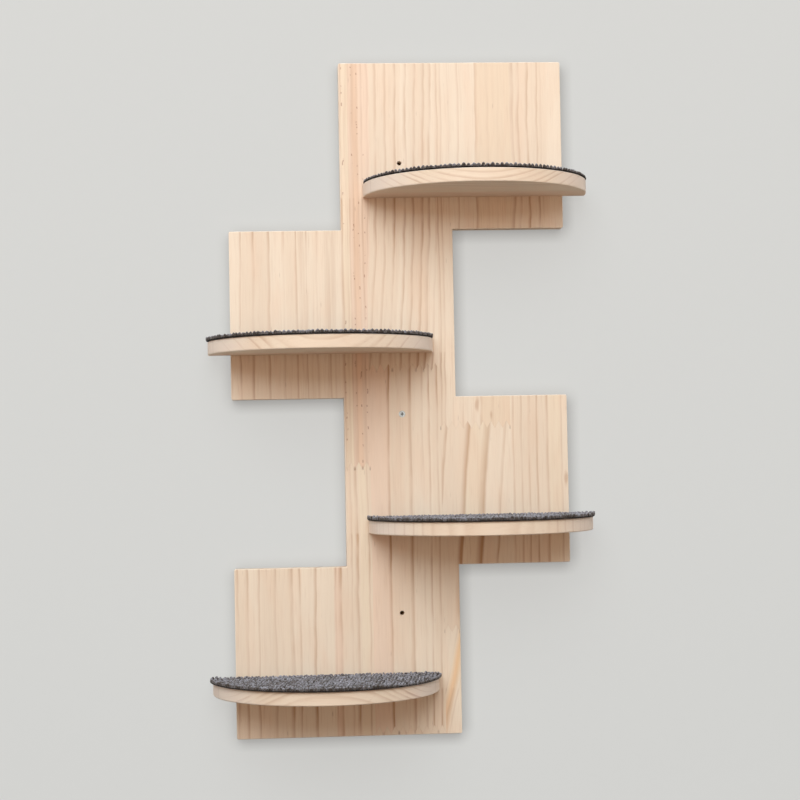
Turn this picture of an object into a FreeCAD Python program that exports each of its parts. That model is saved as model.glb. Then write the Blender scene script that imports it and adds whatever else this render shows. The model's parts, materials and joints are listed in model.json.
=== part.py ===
import FreeCAD, Part

import math
import os

# Wall mounted cat tree: a zigzag pine back board with four half-round carpeted shelves.
# Millimetres. The origin is on the back face, on the centreline of the spine at half the board's
# height. +X is to the viewer's right, +Y goes into the wall and +Z is up.

# ---- Driving sizes -----------------------------------------------------------------------------

# Board: four levels in a zigzag. A spine one column wide, and on each level a tab one column more.
BOARD_THICKNESS = 18.0
COLUMN_WIDTH = 150.0
LEVEL_HEIGHT = 225.0
TAB_SIDES = (1, -1, 1, -1)  # from the top level down: 1 is a tab to the right, -1 to the left
CORNER_RADIUS = 2.5
EDGE_RADIUS = 1.0

# Staves: strips of one width, glued edge to edge, each finger-jointed end to end.
STAVE_WIDTH = 94.5
SPINE_SEAM_X = -41.0  # the glue line on the spine stave's left, the others follow at stave width
FINGER_LENGTH = 10.0
FINGER_PITCH = 10.5
# For each level from the top: which staves have a finger joint, and its height above the level's bottom
FINGER_JOINTS = (
    {},
    {"spine": 40.0},
    {"left_1": 134.5, "right_1": 186.5},
    {"spine": 7.0, "right_1": 140.0},
)

# Shelves: half discs against the board's front face.
SHELF_RADIUS = 150.0
SHELF_THICKNESS = 18.0
SHELF_EDGE_RADIUS = 1.5
SHELF_OUTWARD = 30.0  # the shelf's centre lies this far outwards of its tab's centre
SHELF_RISES = (43.0, 59.5, 44.0, 60.5)  # shelf bottom above its level's bottom, from the top down
SHELF_SEAM_DEPTH = 49.5  # glue line's distance from the board

# Carpets
CARPET_THICKNESS = 6.0
CARPET_EDGE_RADIUS = 1.5
CARPET_BOARD_GAP = 0.5
CARPET_OVERHANGS = (0.5, 1.5, 3.0, 4.0)  # each pad's radius beyond its shelf's, from the top down
CARPET_SHIFTS = (0.0, -1.0, 0.0, -1.0)  # sideways offset at which each pad was glued down

# Screws through the back of the board into the shelves
SHELF_SCREW_LENGTH = 50.0
SHELF_SCREW_THREAD = 4.0
SHELF_SCREW_NECK = 3.0
SHELF_SCREW_HEAD = 8.0
SHELF_SCREW_COUNT = 3
SHELF_SCREW_SPACING = 100.0

# Wall holes and the wall screw that sits in one of them
WALL_HOLE_DIAMETER = 6.0
WALL_HOLES = (
    # for each level from the top: height above its bottom, offset from the centreline, what it holds
    (89.5, 5.0, "nothing"),
    None,
    (202.5, 2.5, "screw"),
    (162.0, -2.5, "nothing"),
)
WALL_SCREW_LENGTH = 50.0
WALL_SCREW_THREAD = 4.5
WALL_SCREW_NECK = 3.3
WALL_SCREW_HEAD = 9.0

# Shared by all screws
THREAD_CLEARANCE = 0.25
SCREW_POINT_LENGTH = 5.0
SCREW_POINT_DIAMETER = 0.6
RECESS_SPAN = 0.5  # share of the head's diameter
RECESS_SLOT = 1.1
RECESS_DEPTH = 1.8

# ---- Places worked out from them ---------------------------------------------------------------

LEVELS = len(TAB_SIDES)
BOARD_TOP = LEVELS * LEVEL_HEIGHT / 2
FRONT = -BOARD_THICKNESS
SPINE_EDGE = COLUMN_WIDTH / 2
TAB_EDGE = SPINE_EDGE + COLUMN_WIDTH
MARGIN = 10.0  # how far a cutting tool reaches past the wood


def level_top(level):
    return BOARD_TOP - level * LEVEL_HEIGHT


def level_bottom(level):
    return level_top(level + 1)


def shelf_centre_x(level):
    return TAB_SIDES[level] * (COLUMN_WIDTH / 2 + SHELF_OUTWARD)


def shelf_bottom(level):
    return level_bottom(level) + SHELF_RISES[level]


def shelf_top(level):
    return shelf_bottom(level) + SHELF_THICKNESS


def wall_hole_centres(contents=("nothing", "screw")):
    centres = []
    for level, hole in enumerate(WALL_HOLES):
        if hole and hole[2] in contents:
            rise, offset = hole[:2]
            centres.append((offset, level_bottom(level) + rise))
    return centres


# ---- Helpers -----------------------------------------------------------------------------------


def vector_xz(point, y):
    return FreeCAD.Vector(point[0], y, point[1])


def prism(points, y_front, y_back):
    """A closed outline in the XZ plane, extruded from y_front to y_back."""
    corners = [vector_xz(point, y_front) for point in points]
    face = Part.Face(Part.makePolygon(corners + corners[:1]))
    return face.extrude(FreeCAD.Vector(0, y_back - y_front, 0))


def box_between(low, high):
    low = FreeCAD.Vector(*low)
    size = FreeCAD.Vector(*high) - low
    return Part.makeBox(size.x, size.y, size.z, low)


def is_along_y(edge):
    first, last = edge.Vertexes[0].Point, edge.Vertexes[-1].Point
    return math.hypot(first.x - last.x, first.z - last.z) < 0.001 < abs(first.y - last.y)


def save(name, solids):
    shape = solids[0] if len(solids) == 1 else Part.makeCompound(solids)
    shape.exportStep("parts/" + name + ".step")


# ---- Screws ------------------------------------------------------------------------------------


def head_cone(centre, y_face, inwards, neck, head):
    """A countersunk head, or its seat: a right-angled cone from the face down to the neck."""
    axis = FreeCAD.Vector(0, inwards, 0)
    return Part.makeCone(head / 2, neck / 2, (head - neck) / 2, vector_xz(centre, y_face), axis)


def countersunk_screw(centre, y_face, inwards, length, thread, neck, head):
    """One screw along Y with its head flush with the board's face; inwards is +1 or -1 along Y.
    Its thin neck fills the board's thickness, and its thread starts past the board."""
    axis = FreeCAD.Vector(0, inwards, 0)
    face = vector_xz(centre, y_face)
    thread_start = face + axis * BOARD_THICKNESS
    thread_length = length - BOARD_THICKNESS - SCREW_POINT_LENGTH
    point_start = thread_start + axis * thread_length
    solid = head_cone(centre, y_face, inwards, neck, head)
    solid = solid.fuse(Part.makeCylinder(neck / 2, BOARD_THICKNESS, face, axis))
    solid = solid.fuse(Part.makeCylinder(thread / 2, thread_length, thread_start, axis))
    point = Part.makeCone(thread / 2, SCREW_POINT_DIAMETER / 2, SCREW_POINT_LENGTH, point_start, axis)
    solid = solid.fuse(point).removeSplitter()
    return solid.cut(cross_recess(centre, y_face, inwards, head))


def cross_recess(centre, y_face, inwards, head):
    half_span = head * RECESS_SPAN / 2
    half_slot = RECESS_SLOT / 2
    y_values = sorted((y_face - inwards * MARGIN, y_face + inwards * RECESS_DEPTH))
    slots = []
    for half_x, half_z in ((half_span, half_slot), (half_slot, half_span)):
        low = (centre[0] - half_x, y_values[0], centre[1] - half_z)
        high = (centre[0] + half_x, y_values[1], centre[1] + half_z)
        slots.append(box_between(low, high))
    return slots[0].fuse(slots[1])


def through_hole(centre, diameter):
    start = vector_xz(centre, FRONT - MARGIN)
    axis = FreeCAD.Vector(0, 1, 0)
    return Part.makeCylinder(diameter / 2, BOARD_THICKNESS + 2 * MARGIN, start, axis)


def shelf_screw_centres(level):
    """Evenly spaced along the stretch where the shelf lies against the board."""
    side = TAB_SIDES[level]
    inner_end = shelf_centre_x(level) - side * SHELF_RADIUS
    middle = (inner_end + side * TAB_EDGE) / 2
    first = middle - SHELF_SCREW_SPACING * (SHELF_SCREW_COUNT - 1) / 2
    height = shelf_bottom(level) + SHELF_THICKNESS / 2
    return [(first + i * SHELF_SCREW_SPACING, height) for i in range(SHELF_SCREW_COUNT)]


def shelf_screws(level):
    size = (SHELF_SCREW_LENGTH, SHELF_SCREW_THREAD, SHELF_SCREW_NECK, SHELF_SCREW_HEAD)
    return [countersunk_screw(centre, 0.0, -1, *size) for centre in shelf_screw_centres(level)]


def wall_screws():
    size = (WALL_SCREW_LENGTH, WALL_SCREW_THREAD, WALL_SCREW_NECK, WALL_SCREW_HEAD)
    return [countersunk_screw(centre, FRONT, 1, *size) for centre in wall_hole_centres(["screw"])]


# ---- Back board --------------------------------------------------------------------------------


def board_outline():
    """Down the right-hand side and back up the left."""
    right = []
    left = []
    for level, side in enumerate(TAB_SIDES):
        right_x = TAB_EDGE if side > 0 else SPINE_EDGE
        left_x = -SPINE_EDGE if side > 0 else -TAB_EDGE
        right += [(right_x, level_top(level)), (right_x, level_bottom(level))]
        left += [(left_x, level_top(level)), (left_x, level_bottom(level))]
    return right + left[::-1]


def is_convex(before, corner, after):
    """True at an outer corner of an outline that runs clockwise as seen from the front."""
    arriving = vector_xz(corner, 0) - vector_xz(before, 0)
    leaving = vector_xz(after, 0) - vector_xz(corner, 0)
    return arriving.cross(leaving).y > 0


def rounded_blank():
    """The zigzag blank with its outer corners rounded and its front and back edges eased."""
    outline = board_outline()
    blank = prism(outline, FRONT, 0.0)
    outer_corners = []
    for i, corner in enumerate(outline):
        if is_convex(outline[i - 1], corner, outline[(i + 1) % len(outline)]):
            outer_corners.append(corner)
    upright_edges = []
    for edge in blank.Edges:
        if not is_along_y(edge):
            continue
        place = edge.Vertexes[0].Point
        if any(math.hypot(place.x - x, place.z - z) < 0.001 for x, z in outer_corners):
            upright_edges.append(edge)
    blank = blank.makeFillet(CORNER_RADIUS, upright_edges)
    face_edges = [edge for edge in blank.Edges if not is_along_y(edge)]
    return blank.makeFillet(EDGE_RADIUS, face_edges)


def drilled_board():
    board = rounded_blank()
    tools = []
    for centre in wall_hole_centres():
        tools.append(through_hole(centre, WALL_HOLE_DIAMETER))
    for centre in wall_hole_centres(["screw"]):
        tools.append(head_cone(centre, FRONT, 1, WALL_SCREW_NECK, WALL_SCREW_HEAD))
    for level in range(LEVELS):
        for centre in shelf_screw_centres(level):
            tools.append(through_hole(centre, SHELF_SCREW_THREAD + 2 * THREAD_CLEARANCE))
            tools.append(head_cone(centre, 0.0, -1, SHELF_SCREW_NECK, SHELF_SCREW_HEAD))
    for tool in tools:
        board = board.cut(tool)
    return board


def finger_line(x_left, x_right, height):
    """The zigzag line of a finger joint, from the left seam to the right one."""
    fingers = max(1, round((x_right - x_left) / FINGER_PITCH))
    step = (x_right - x_left) / fingers
    low = height - FINGER_LENGTH / 2
    high = height + FINGER_LENGTH / 2
    line = [(x_left, low)]
    for i in range(fingers):
        line.append((x_left + (i + 0.5) * step, high))
        line.append((x_left + (i + 1) * step, low))
    return line


def straight_line(x_left, x_right, height):
    return [(x_left, height), (x_right, height)]


def stave_places():
    """Each stave's place, counted from the spine's stave: below 0 is left of it, above 0 right of it."""
    first = math.floor((-TAB_EDGE - SPINE_SEAM_X) / STAVE_WIDTH)
    end = math.ceil((TAB_EDGE - SPINE_SEAM_X) / STAVE_WIDTH)
    return range(first, end)


def stave_name(place):
    if place == 0:
        return "spine"
    side = "left" if place < 0 else "right"
    return "%s_%d" % (side, abs(place))


def stave_blocks(board, place):
    """The pieces of wood that make up one stave, from the top down."""
    x_left = SPINE_SEAM_X + place * STAVE_WIDTH
    x_right = x_left + STAVE_WIDTH
    lines = [straight_line(x_left, x_right, BOARD_TOP + MARGIN)]
    for level, joints in enumerate(FINGER_JOINTS):
        if stave_name(place) in joints:
            height = level_bottom(level) + joints[stave_name(place)]
            lines.append(finger_line(x_left, x_right, height))
    lines.append(straight_line(x_left, x_right, -BOARD_TOP - MARGIN))
    blocks = []
    for upper, lower in zip(lines, lines[1:]):
        block = prism(upper + lower[::-1], FRONT - MARGIN, MARGIN)
        solids = board.common(block).Solids
        blocks += sorted(solids, key=lambda solid: -solid.BoundBox.ZMax)
    return blocks


def save_board():
    board = drilled_board()
    for place in stave_places():
        for letter, block in zip("abcdefgh", stave_blocks(board, place)):
            save("board_%s_stave_%s" % (stave_name(place), letter), [block])


# ---- Shelves -----------------------------------------------------------------------------------


def half_disc(centre_x, z_bottom, radius, thickness, y_flat):
    """A disc centred on the board's front face, kept in front of y_flat."""
    disc = Part.makeCylinder(radius, thickness, FreeCAD.Vector(centre_x, FRONT, z_bottom))
    low = (centre_x - radius - MARGIN, FRONT - radius - MARGIN, z_bottom - MARGIN)
    high = (centre_x + radius + MARGIN, y_flat, z_bottom + thickness + MARGIN)
    return disc.common(box_between(low, high))


def round_edges(solid):
    return [edge for edge in solid.Edges if isinstance(edge.Curve, Part.Circle)]


def shelf(level):
    wood = half_disc(shelf_centre_x(level), shelf_bottom(level), SHELF_RADIUS, SHELF_THICKNESS, FRONT)
    wood = wood.makeFillet(SHELF_EDGE_RADIUS, round_edges(wood))
    for screw in shelf_screws(level):
        wood = wood.cut(screw)
    return wood


def save_shelf(level):
    wood = shelf(level)
    bounds = wood.BoundBox
    seam_y = FRONT - SHELF_SEAM_DEPTH
    low = (bounds.XMin - MARGIN, seam_y, bounds.ZMin - MARGIN)
    high = (bounds.XMax + MARGIN, FRONT + MARGIN, bounds.ZMax + MARGIN)
    back_zone = box_between(low, high)
    save("shelf_%d_back_stave" % (level + 1), wood.common(back_zone).Solids)
    save("shelf_%d_front_stave" % (level + 1), wood.cut(back_zone).Solids)


def carpet(level):
    centre_x = shelf_centre_x(level) + CARPET_SHIFTS[level]
    radius = SHELF_RADIUS + CARPET_OVERHANGS[level]
    pad = half_disc(centre_x, shelf_top(level), radius, CARPET_THICKNESS, FRONT - CARPET_BOARD_GAP)
    top = shelf_top(level) + CARPET_THICKNESS
    rim = [edge for edge in round_edges(pad) if edge.BoundBox.ZMin > top - 0.001]
    return pad.makeFillet(CARPET_EDGE_RADIUS, rim)


# ---- All pieces --------------------------------------------------------------------------------

os.makedirs("parts", exist_ok=True)
save_board()
save("wall_screw", wall_screws())
for level in range(LEVELS):
    save_shelf(level)
    save("carpet_%d" % (level + 1), [carpet(level)])
    save("shelf_screws_%d" % (level + 1), shelf_screws(level))
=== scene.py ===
import json
import math

import bpy
import numpy as np
from mathutils import Matrix, Vector


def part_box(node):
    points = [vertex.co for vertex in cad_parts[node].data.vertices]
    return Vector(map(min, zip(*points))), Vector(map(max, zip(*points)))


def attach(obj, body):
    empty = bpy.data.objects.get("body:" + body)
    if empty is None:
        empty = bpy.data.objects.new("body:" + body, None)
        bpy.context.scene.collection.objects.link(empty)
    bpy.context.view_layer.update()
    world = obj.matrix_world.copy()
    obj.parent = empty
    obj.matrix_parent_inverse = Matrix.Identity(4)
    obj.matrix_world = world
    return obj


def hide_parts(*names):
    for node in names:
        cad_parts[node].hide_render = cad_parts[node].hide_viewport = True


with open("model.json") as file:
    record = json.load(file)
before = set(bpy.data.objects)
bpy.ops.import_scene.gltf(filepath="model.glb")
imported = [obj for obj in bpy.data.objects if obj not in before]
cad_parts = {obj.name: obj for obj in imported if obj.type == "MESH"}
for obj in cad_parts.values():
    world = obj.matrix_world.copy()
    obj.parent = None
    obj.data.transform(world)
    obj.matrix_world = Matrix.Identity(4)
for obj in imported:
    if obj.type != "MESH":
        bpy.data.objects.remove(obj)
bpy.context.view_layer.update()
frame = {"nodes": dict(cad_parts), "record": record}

# Wall mounted cat tree. Blender works in metres, and only values named with _MM and the wood tables
# are in millimetres. X is to the viewer's right, +Y goes into the wall and +Z is up.

MM = 0.001
BODY = "root"
LEVELS = (1, 2, 3, 4)  # from the top down

FRONT_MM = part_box("board_spine_stave_a")[0].y / MM


# ---- Node trees ----


def srgb(red, green, blue):
    """A colour given in 0 to 255, as the linear colour that Blender's sockets hold."""
    def linear(value):
        share = value / 255
        return share / 12.92 if share <= 0.04045 else ((share + 0.055) / 1.055) ** 2.4
    return (linear(red), linear(green), linear(blue), 1.0)


class Shader:
    """An empty node tree, with short calls that add a node, wire its inputs and return its output."""

    def __init__(self, owner):
        """The owner is a new world, or the name of a material to make."""
        self.owner = bpy.data.materials.new(owner) if isinstance(owner, str) else owner
        self.owner.use_nodes = True
        self.tree = self.owner.node_tree
        self.tree.nodes.clear()

    def add(self, kind, inputs=(), **settings):
        node = self.tree.nodes.new("ShaderNode" + kind)
        for name, value in settings.items():
            setattr(node, name, value)
        for name, value in dict(inputs).items():
            self.wire(node.inputs[name], value)
        return node

    def wire(self, socket, value):
        if isinstance(value, bpy.types.NodeSocket):
            self.tree.links.new(value, socket)
        else:
            socket.default_value = value

    def math(self, operation, first, second=0.0, third=0.0, clamp=False):
        values = {0: first, 1: second, 2: third}
        return self.add("Math", values, operation=operation, use_clamp=clamp).outputs[0]

    def total(self, *values):
        result = values[0]
        for value in values[1:]:
            result = self.math("ADD", result, value)
        return result

    def product(self, *values):
        result = values[0]
        for value in values[1:]:
            result = self.math("MULTIPLY", result, value)
        return result

    def step_between(self, value, low, high):
        """0 below low, 1 above high and a smooth rise between; the other way round if low > high."""
        inputs = {"Value": value, "From Min": low, "From Max": high}
        return self.add("MapRange", inputs, interpolation_type="SMOOTHSTEP").outputs[0]

    def point(self, x, y, z):
        return self.add("CombineXYZ", {"X": x, "Y": y, "Z": z}).outputs[0]

    def noise(self, vector, scale=1.0, detail=2.0, roughness=0.5):
        inputs = {"Vector": vector, "Scale": scale, "Detail": detail, "Roughness": roughness}
        return self.add("TexNoise", inputs, noise_dimensions="3D").outputs["Fac"]

    def swing(self, vector, amount, scale=1.0, detail=1.0):
        """Noise from about -amount to amount."""
        centred = self.math("SUBTRACT", self.noise(vector, scale, detail), 0.5)
        return self.math("MULTIPLY", centred, 2 * amount)

    def ramp(self, value, stops):
        """Stops are (place from 0 to 1, colour). Returns the colour."""
        node = self.add("ValToRGB", {"Fac": value})
        elements = node.color_ramp.elements
        elements.remove(elements[1])
        for i, (place, colour) in enumerate(sorted(stops, key=lambda stop: stop[0])):
            element = elements[0] if i == 0 else elements.new(place)
            element.position = place
            element.color = colour
        return node.outputs["Color"]

    def centred(self, value, amount):
        """A value from 0 to 1, brought to the range from -amount / 2 to amount / 2."""
        return self.math("MULTIPLY_ADD", value, amount, -amount / 2)

    def mix(self, share, first, second, blend_type="MIX"):
        node = self.add("Mix", data_type="RGBA", blend_type=blend_type)
        for socket, value in ((0, share), (6, first), (7, second)):
            self.wire(node.inputs[socket], value)
        return node.outputs[2]

    def shade(self, colour, amount):
        """The colour made darker by amount, which is from 0 to 1."""
        share = self.math("SUBTRACT", 1.0, amount)
        grey = self.add("CombineColor", {0: share, 1: share, 2: share}).outputs[0]
        return self.mix(1.0, colour, grey, "MULTIPLY")

    def bump(self, height, distance):
        return self.add("Bump", {"Height": height, "Distance": distance}).outputs[0]

    def finish(self, **sockets):
        """Ends the tree in one Principled shader. A socket's name has its spaces as underscores."""
        inputs = {name.replace("_", " "): value for name, value in sockets.items()}
        shader = self.add("BsdfPrincipled", inputs)
        self.add("OutputMaterial", {"Surface": shader.outputs[0]})
        return self.owner


def dress(node, material):
    """Puts a material on a CAD node's object, in place of the ones it came with."""
    piece = frame["nodes"][node]
    if not piece.material_slots:
        piece.data.materials.append(None)
    for material_slot in piece.material_slots:
        material_slot.link = "OBJECT"
        material_slot.material = material


# ---- Pine ----

# A stave is solid wood. Its growth rings are cylinders about a pith line that runs along the grain,
# and each ring is named by its place on the reference face: the board's front, or a shelf's top.
# Places are in millimetres: along x on the board, along y on a shelf.

CREAM = srgb(237, 219, 198)
PALE = srgb(240, 224, 204)
PINK = srgb(238, 214, 193)
ROSE = srgb(236, 207, 182)
AMBER = srgb(240, 205, 165)
STRAW = srgb(239, 222, 199)
GREIGE = srgb(237, 217, 193)
LATEWOOD = srgb(190, 149, 115)
RESIN = srgb(120, 76, 48)
PITCH = srgb(150, 84, 58)
# A shelf's end grain: paler, greyer wood, partly painted light from the sides.
END_GRAIN_SIDE_LIT = srgb(242, 229, 219)
# Rounded edges: paler sanded wood with a painted highlight.
SANDED_HIGHLIGHT = srgb(252, 241, 229)
GLUE = srgb(128, 84, 54)

# Pairs in this section are where an effect starts and where it is full, unless they say otherwise.
LINE_DEPTH = 1.15  # of every growth line
LINE_SLOW_SIDE = 0.72  # share of a growth line's width on the side where it rises slowly
LINE_FADE = (0.15, 0.62)
LINE_FADE_RATES = (0.05, 0.016)  # cycles per millimetre across and along the grain
STOP_GAP = 0.0005  # least distance between two stops of a ramp
# Painted shade: the board's growth lines are drawn stronger in this band below each shelf.
SHELF_SHADE_FROM_MM = (16, 20)  # below a shelf's top, where the board's growth lines are stronger
SHELF_SHADE_TO_MM = (100, 50)

# Rates of the wood's noise, in cycles per millimetre: across the grain, into the wood and along it.
SWAY_RATES = (0.012, 0.02, 0.009)
WAVER_RATES = (0.06, 0.05, 0.028)
FIBRE_RATES = (1.7, 1.7, 0.045)
CLOUD_RATES = (0.03, 0.03, 0.006)
BLUSH_RATES = (0.045, 0.03, 0.010)
STREAK_RATES = (0.45, 0.45, 0.025)
DASH_RATES = (0.30, 0.30, 0.05)
SWAY_SHARE = 1.8  # of a stave's sway_mm, for its long waves
WAVER_SHARE = 0.9  # and for its short ones

FINE_RATE = 0.006  # along the grain
FINE_RANGE = (0.40, 0.75)
BLUSH_RANGE = (0.42, 0.75)
BLUSH_SHARE = 0.35
STREAK_RANGE = (0.50, 0.80)
STREAK_SHARE = 0.12
FIBRE_SHADE = 0.09
CLOUD_SHADE = 0.10
DASH_SCALE = 0.55
DASH_RADIUS = (0.15, 0.03)
DASH_PRESENT = (0.6, 1.0)  # of the random number that says which dashes show
FLECK_WANDER_MM = 2.5
FLECK_WANDER_RATE = 0.11
FLECK_HALF_WIDTH_MM = (1.1, 0.2)
FLECK_RATE = 0.19
FLECK_PRESENT = (0.61, 0.70)
FLECK_SHARE = 0.55

KNOT_REACH = (1.6, 2.6)  # of its bulge across and along the grain, in radii
KNOT_PUSH = 0.75  # in radii
KNOT_WOBBLE = 0.9
KNOT_WOBBLE_RATES = (0.12, 0.4)  # cycles per millimetre, and how much slower along the grain
KNOT_STRETCH = 0.05  # a knot's heart is long along the grain
KNOT_EDGE = (1.1, 0.1)  # in radii
KNOT_SHARE = 0.5

FINGER_LENGTH_MM = 10.0
FINGER_PITCH_MM = 10.5
THREAD_OF_GLUE_MM = (1.6, 0.4)  # distance from the joint's zigzag
THREAD_OF_GLUE_SHARE = 0.05
TIP_SLIP_MM = 3.0  # how far a dark mark strays from its finger's tip
TIP_SLIP_RATE = 0.5  # cycles per finger
TIP_HALF_WIDTH_MM = (2.2, 0.2)
TIP_LOW_END_MM = (-2.5, -0.2)
TIP_HIGH_END_MM = (5.5, 0.8)
TIP_RATE = 0.55
TIP_PRESENT = (0.44, 0.70)
TIP_SHARE = 0.55

SEAM_SHARE = 0.45  # of the glue line across a shelf
SEAM_HALF_WIDTH_MM = (2.2, 0.6)
SEAM_ON_FLAT = 0.2  # of the line's strength on a shelf's flat faces
RIM_STEEPNESS = (0.9, 0.5)  # of the normal's rise, from a flat face to the rim

# Where the rounded edges get their painted highlight, and the shelf ends their partly side-lit end grain
# colour.
SHELF_ARRIS = 0.65  # the normal's rise on a shelf's rounded edges
SHELF_ARRIS_REACH = (0.32, 0.12)
SHELF_END_FACING = (0.5, 0.95)
SHELF_END_SHARE = 0.75
BOARD_ARRIS = (0.985, 0.85)
BOARD_END_FACING = (0.75, 0.97)
BOARD_END_SHADE = 0.10
SANDED_HIGHLIGHT_SHARE = 0.6

FIBRE_RELIEF = 0.5
LINE_RELIEF = 0.5
FINE_RELIEF = 0.15
MARK_RELIEF = -0.8
RELIEF_DEPTH = 0.12 * MM
WOOD_ROUGHNESS = 0.46
FIBRE_ROUGHNESS = 0.16

SHELF_TOPS_MM = [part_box(f"shelf_{level}_back_stave")[1].z / MM for level in LEVELS]


def grain_places(s, grain, reference_mm):
    """Across the grain, along it, and down from the reference face, in millimetres."""
    place = s.add("TexCoord").outputs["Object"]
    millimetres = s.add("VectorMath", {0: place, "Scale": 1 / MM}, operation="SCALE").outputs[0]
    x, y, z = s.add("SeparateXYZ", {0: millimetres}).outputs
    if grain == "upright":
        return x, z, s.math("SUBTRACT", y, reference_mm)
    return y, x, s.math("SUBTRACT", reference_mm, z)


def grained(s, place, rates, seed=0.0):
    """A vector for noise that is stretched along the grain."""
    across, along, down = place
    rate_across, rate_down, rate_along = rates
    depth = s.total(s.product(down, rate_down), seed)
    return s.point(s.product(across, rate_across), depth, s.product(along, rate_along))


def ring_place(s, place, wood, seed):
    """The place on the reference face of the ring that passes through a point."""
    across, along, down = place
    run = s.math("SUBTRACT", along, wood["from_mm"])
    curve = s.math("MULTIPLY", s.math("MULTIPLY", run, run), wood["curve"])
    shift = s.total(
        s.swing(grained(s, place, SWAY_RATES, seed), wood["sway_mm"] * SWAY_SHARE),
        s.swing(grained(s, place, WAVER_RATES, seed), wood["sway_mm"] * WAVER_SHARE, detail=2.0),
        s.math("MULTIPLY", run, -wood["lean"]),
        s.math("MULTIPLY", curve, -1.0),
    )
    for knot in wood["knots"]:
        shift = s.math("ADD", shift, knot_push(s, across, along, knot))
    moved = s.math("ADD", across, shift)
    pith_across, pith_down = wood["pith"]
    from_pith = s.math("SUBTRACT", moved, pith_across)
    depth = s.math("SUBTRACT", down, pith_down)
    squared = s.total(
        s.math("MULTIPLY", from_pith, from_pith),
        s.math("MULTIPLY", depth, depth),
        -pith_down * pith_down,
    )
    distance = s.math("SQRT", s.math("MAXIMUM", squared, 0.0))
    side = s.math("SIGN", from_pith)
    return s.math("MULTIPLY_ADD", distance, side, pith_across)


def knot_push(s, across, along, knot):
    """How far the rings bulge sideways round a knot at (across, along) of that radius."""
    place_across, place_along, radius = knot
    reach_across, reach_along = KNOT_REACH
    dx = s.math("SUBTRACT", across, place_across)
    dz = s.math("SUBTRACT", along, place_along)
    near_across = s.math("DIVIDE", dx, radius * reach_across)
    near_along = s.math("DIVIDE", dz, radius * reach_along)
    squared = s.total(s.product(near_across, near_across), s.product(near_along, near_along))
    bell = s.math("POWER", math.e, s.math("MULTIPLY", squared, -1.0))
    return s.product(bell, s.math("SIGN", dx), -radius * KNOT_PUSH)


def knot_heart(s, across, along, knot):
    """1 in a knot's darker middle and 0 outside it."""
    place_across, place_along, radius = knot
    rate, slower_along = KNOT_WOBBLE_RATES
    dx = s.math("SUBTRACT", across, place_across)
    dz = s.math("SUBTRACT", along, place_along)
    wobble = s.swing(s.point(across, 0.0, s.product(along, slower_along)), KNOT_WOBBLE, rate)
    distance = s.math("SQRT", s.total(s.product(dx, dx), s.product(dz, dz, KNOT_STRETCH)))
    return s.step_between(s.math("ADD", s.math("DIVIDE", distance, radius), wobble), *KNOT_EDGE)


def line_stops(lines, low, high):
    """Ramp stops for growth lines: each rises slowly on one side and ends sharply on the other."""
    stops = [(0.0, (0, 0, 0, 1))]
    for place, darkness, width in sorted(lines):
        before = LINE_SLOW_SIDE if width > 0 else 1 - LINE_SLOW_SIDE
        start = place - before * abs(width)
        for edge, value in ((start, 0), (place, darkness), (start + abs(width), 0)):
            share = (edge - low) / (high - low)
            share = min(max(share, stops[-1][0] + STOP_GAP), 1.0)
            stops.append((share, (value, value, value, 1)))
    return stops


def tone_stops(tones, low, high, blend_mm):
    """Ramp stops for bands of wood colour, given as (where it starts, colour), with blends between."""
    blend = blend_mm / (high - low)
    stops = [(0.0, tones[0][1])]
    for (_, before), (place, colour) in zip(tones, tones[1:]):
        share = (place - low) / (high - low)
        stops.append((max(share - blend, 0.0), before))
        stops.append((min(share + blend, 1.0), colour))
    return stops


def lines_darker_in_shelf_shade(s, along):
    """Painted shade: the board's growth lines are drawn about twice as strong just below each shelf."""
    total = 1.0
    for top in SHELF_TOPS_MM:
        upper = s.step_between(along, *(top - drop for drop in SHELF_SHADE_FROM_MM))
        lower = s.step_between(along, *(top - drop for drop in SHELF_SHADE_TO_MM))
        total = s.math("ADD", s.product(upper, lower), total)
    return total


def stronger_end(s, along, wood):
    """Growth lines on one end of a shelf can be stronger: (from, to, how much more)."""
    if not wood["stronger"]:
        return 1.0
    start, full, more = wood["stronger"]
    return s.math("MULTIPLY_ADD", s.step_between(along, start, full), more, 1.0)


def finger_glue(s, across, along, joint):
    """The glue of one finger joint: a faint zigzag, and a dark mark at most fingers' low tips."""
    height, left, right = joint
    fingers = max(1, round((right - left) / FINGER_PITCH_MM))
    step = (right - left) / fingers
    low_tip = height - FINGER_LENGTH_MM / 2
    zigzag = s.math("PINGPONG", s.math("DIVIDE", s.math("SUBTRACT", across, left), step / 2), 1.0)
    line = s.math("MULTIPLY_ADD", zigzag, FINGER_LENGTH_MM, low_tip)
    off = s.math("ABSOLUTE", s.math("SUBTRACT", along, line))
    thread = s.math("MULTIPLY", s.step_between(off, *THREAD_OF_GLUE_MM), THREAD_OF_GLUE_SHARE)
    slip = s.swing(s.point(s.product(across, TIP_SLIP_RATE / step), height, 7.0), TIP_SLIP_MM)
    tip = s.math("SUBTRACT", along, s.math("ADD", slip, low_tip))
    mark = s.product(
        s.step_between(s.math("MULTIPLY", zigzag, step / 2), *TIP_HALF_WIDTH_MM),
        s.step_between(tip, *TIP_LOW_END_MM),
        s.step_between(tip, *TIP_HIGH_END_MM),
    )
    each = s.noise(s.point(s.product(across, TIP_RATE / step), height, 0.0), 1.0, 0.0)
    mark = s.product(mark, s.step_between(each, *TIP_PRESENT), TIP_SHARE)
    return s.math("MAXIMUM", thread, mark)


def fine_rings(s, ring, along, pitch, seed):
    """Faint thin rings between the strong ones, from 0 to 1."""
    vector = s.point(s.math("DIVIDE", ring, pitch), seed, s.product(along, FINE_RATE))
    return s.step_between(s.noise(vector, 1.0, 1.0), *FINE_RANGE)


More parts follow.
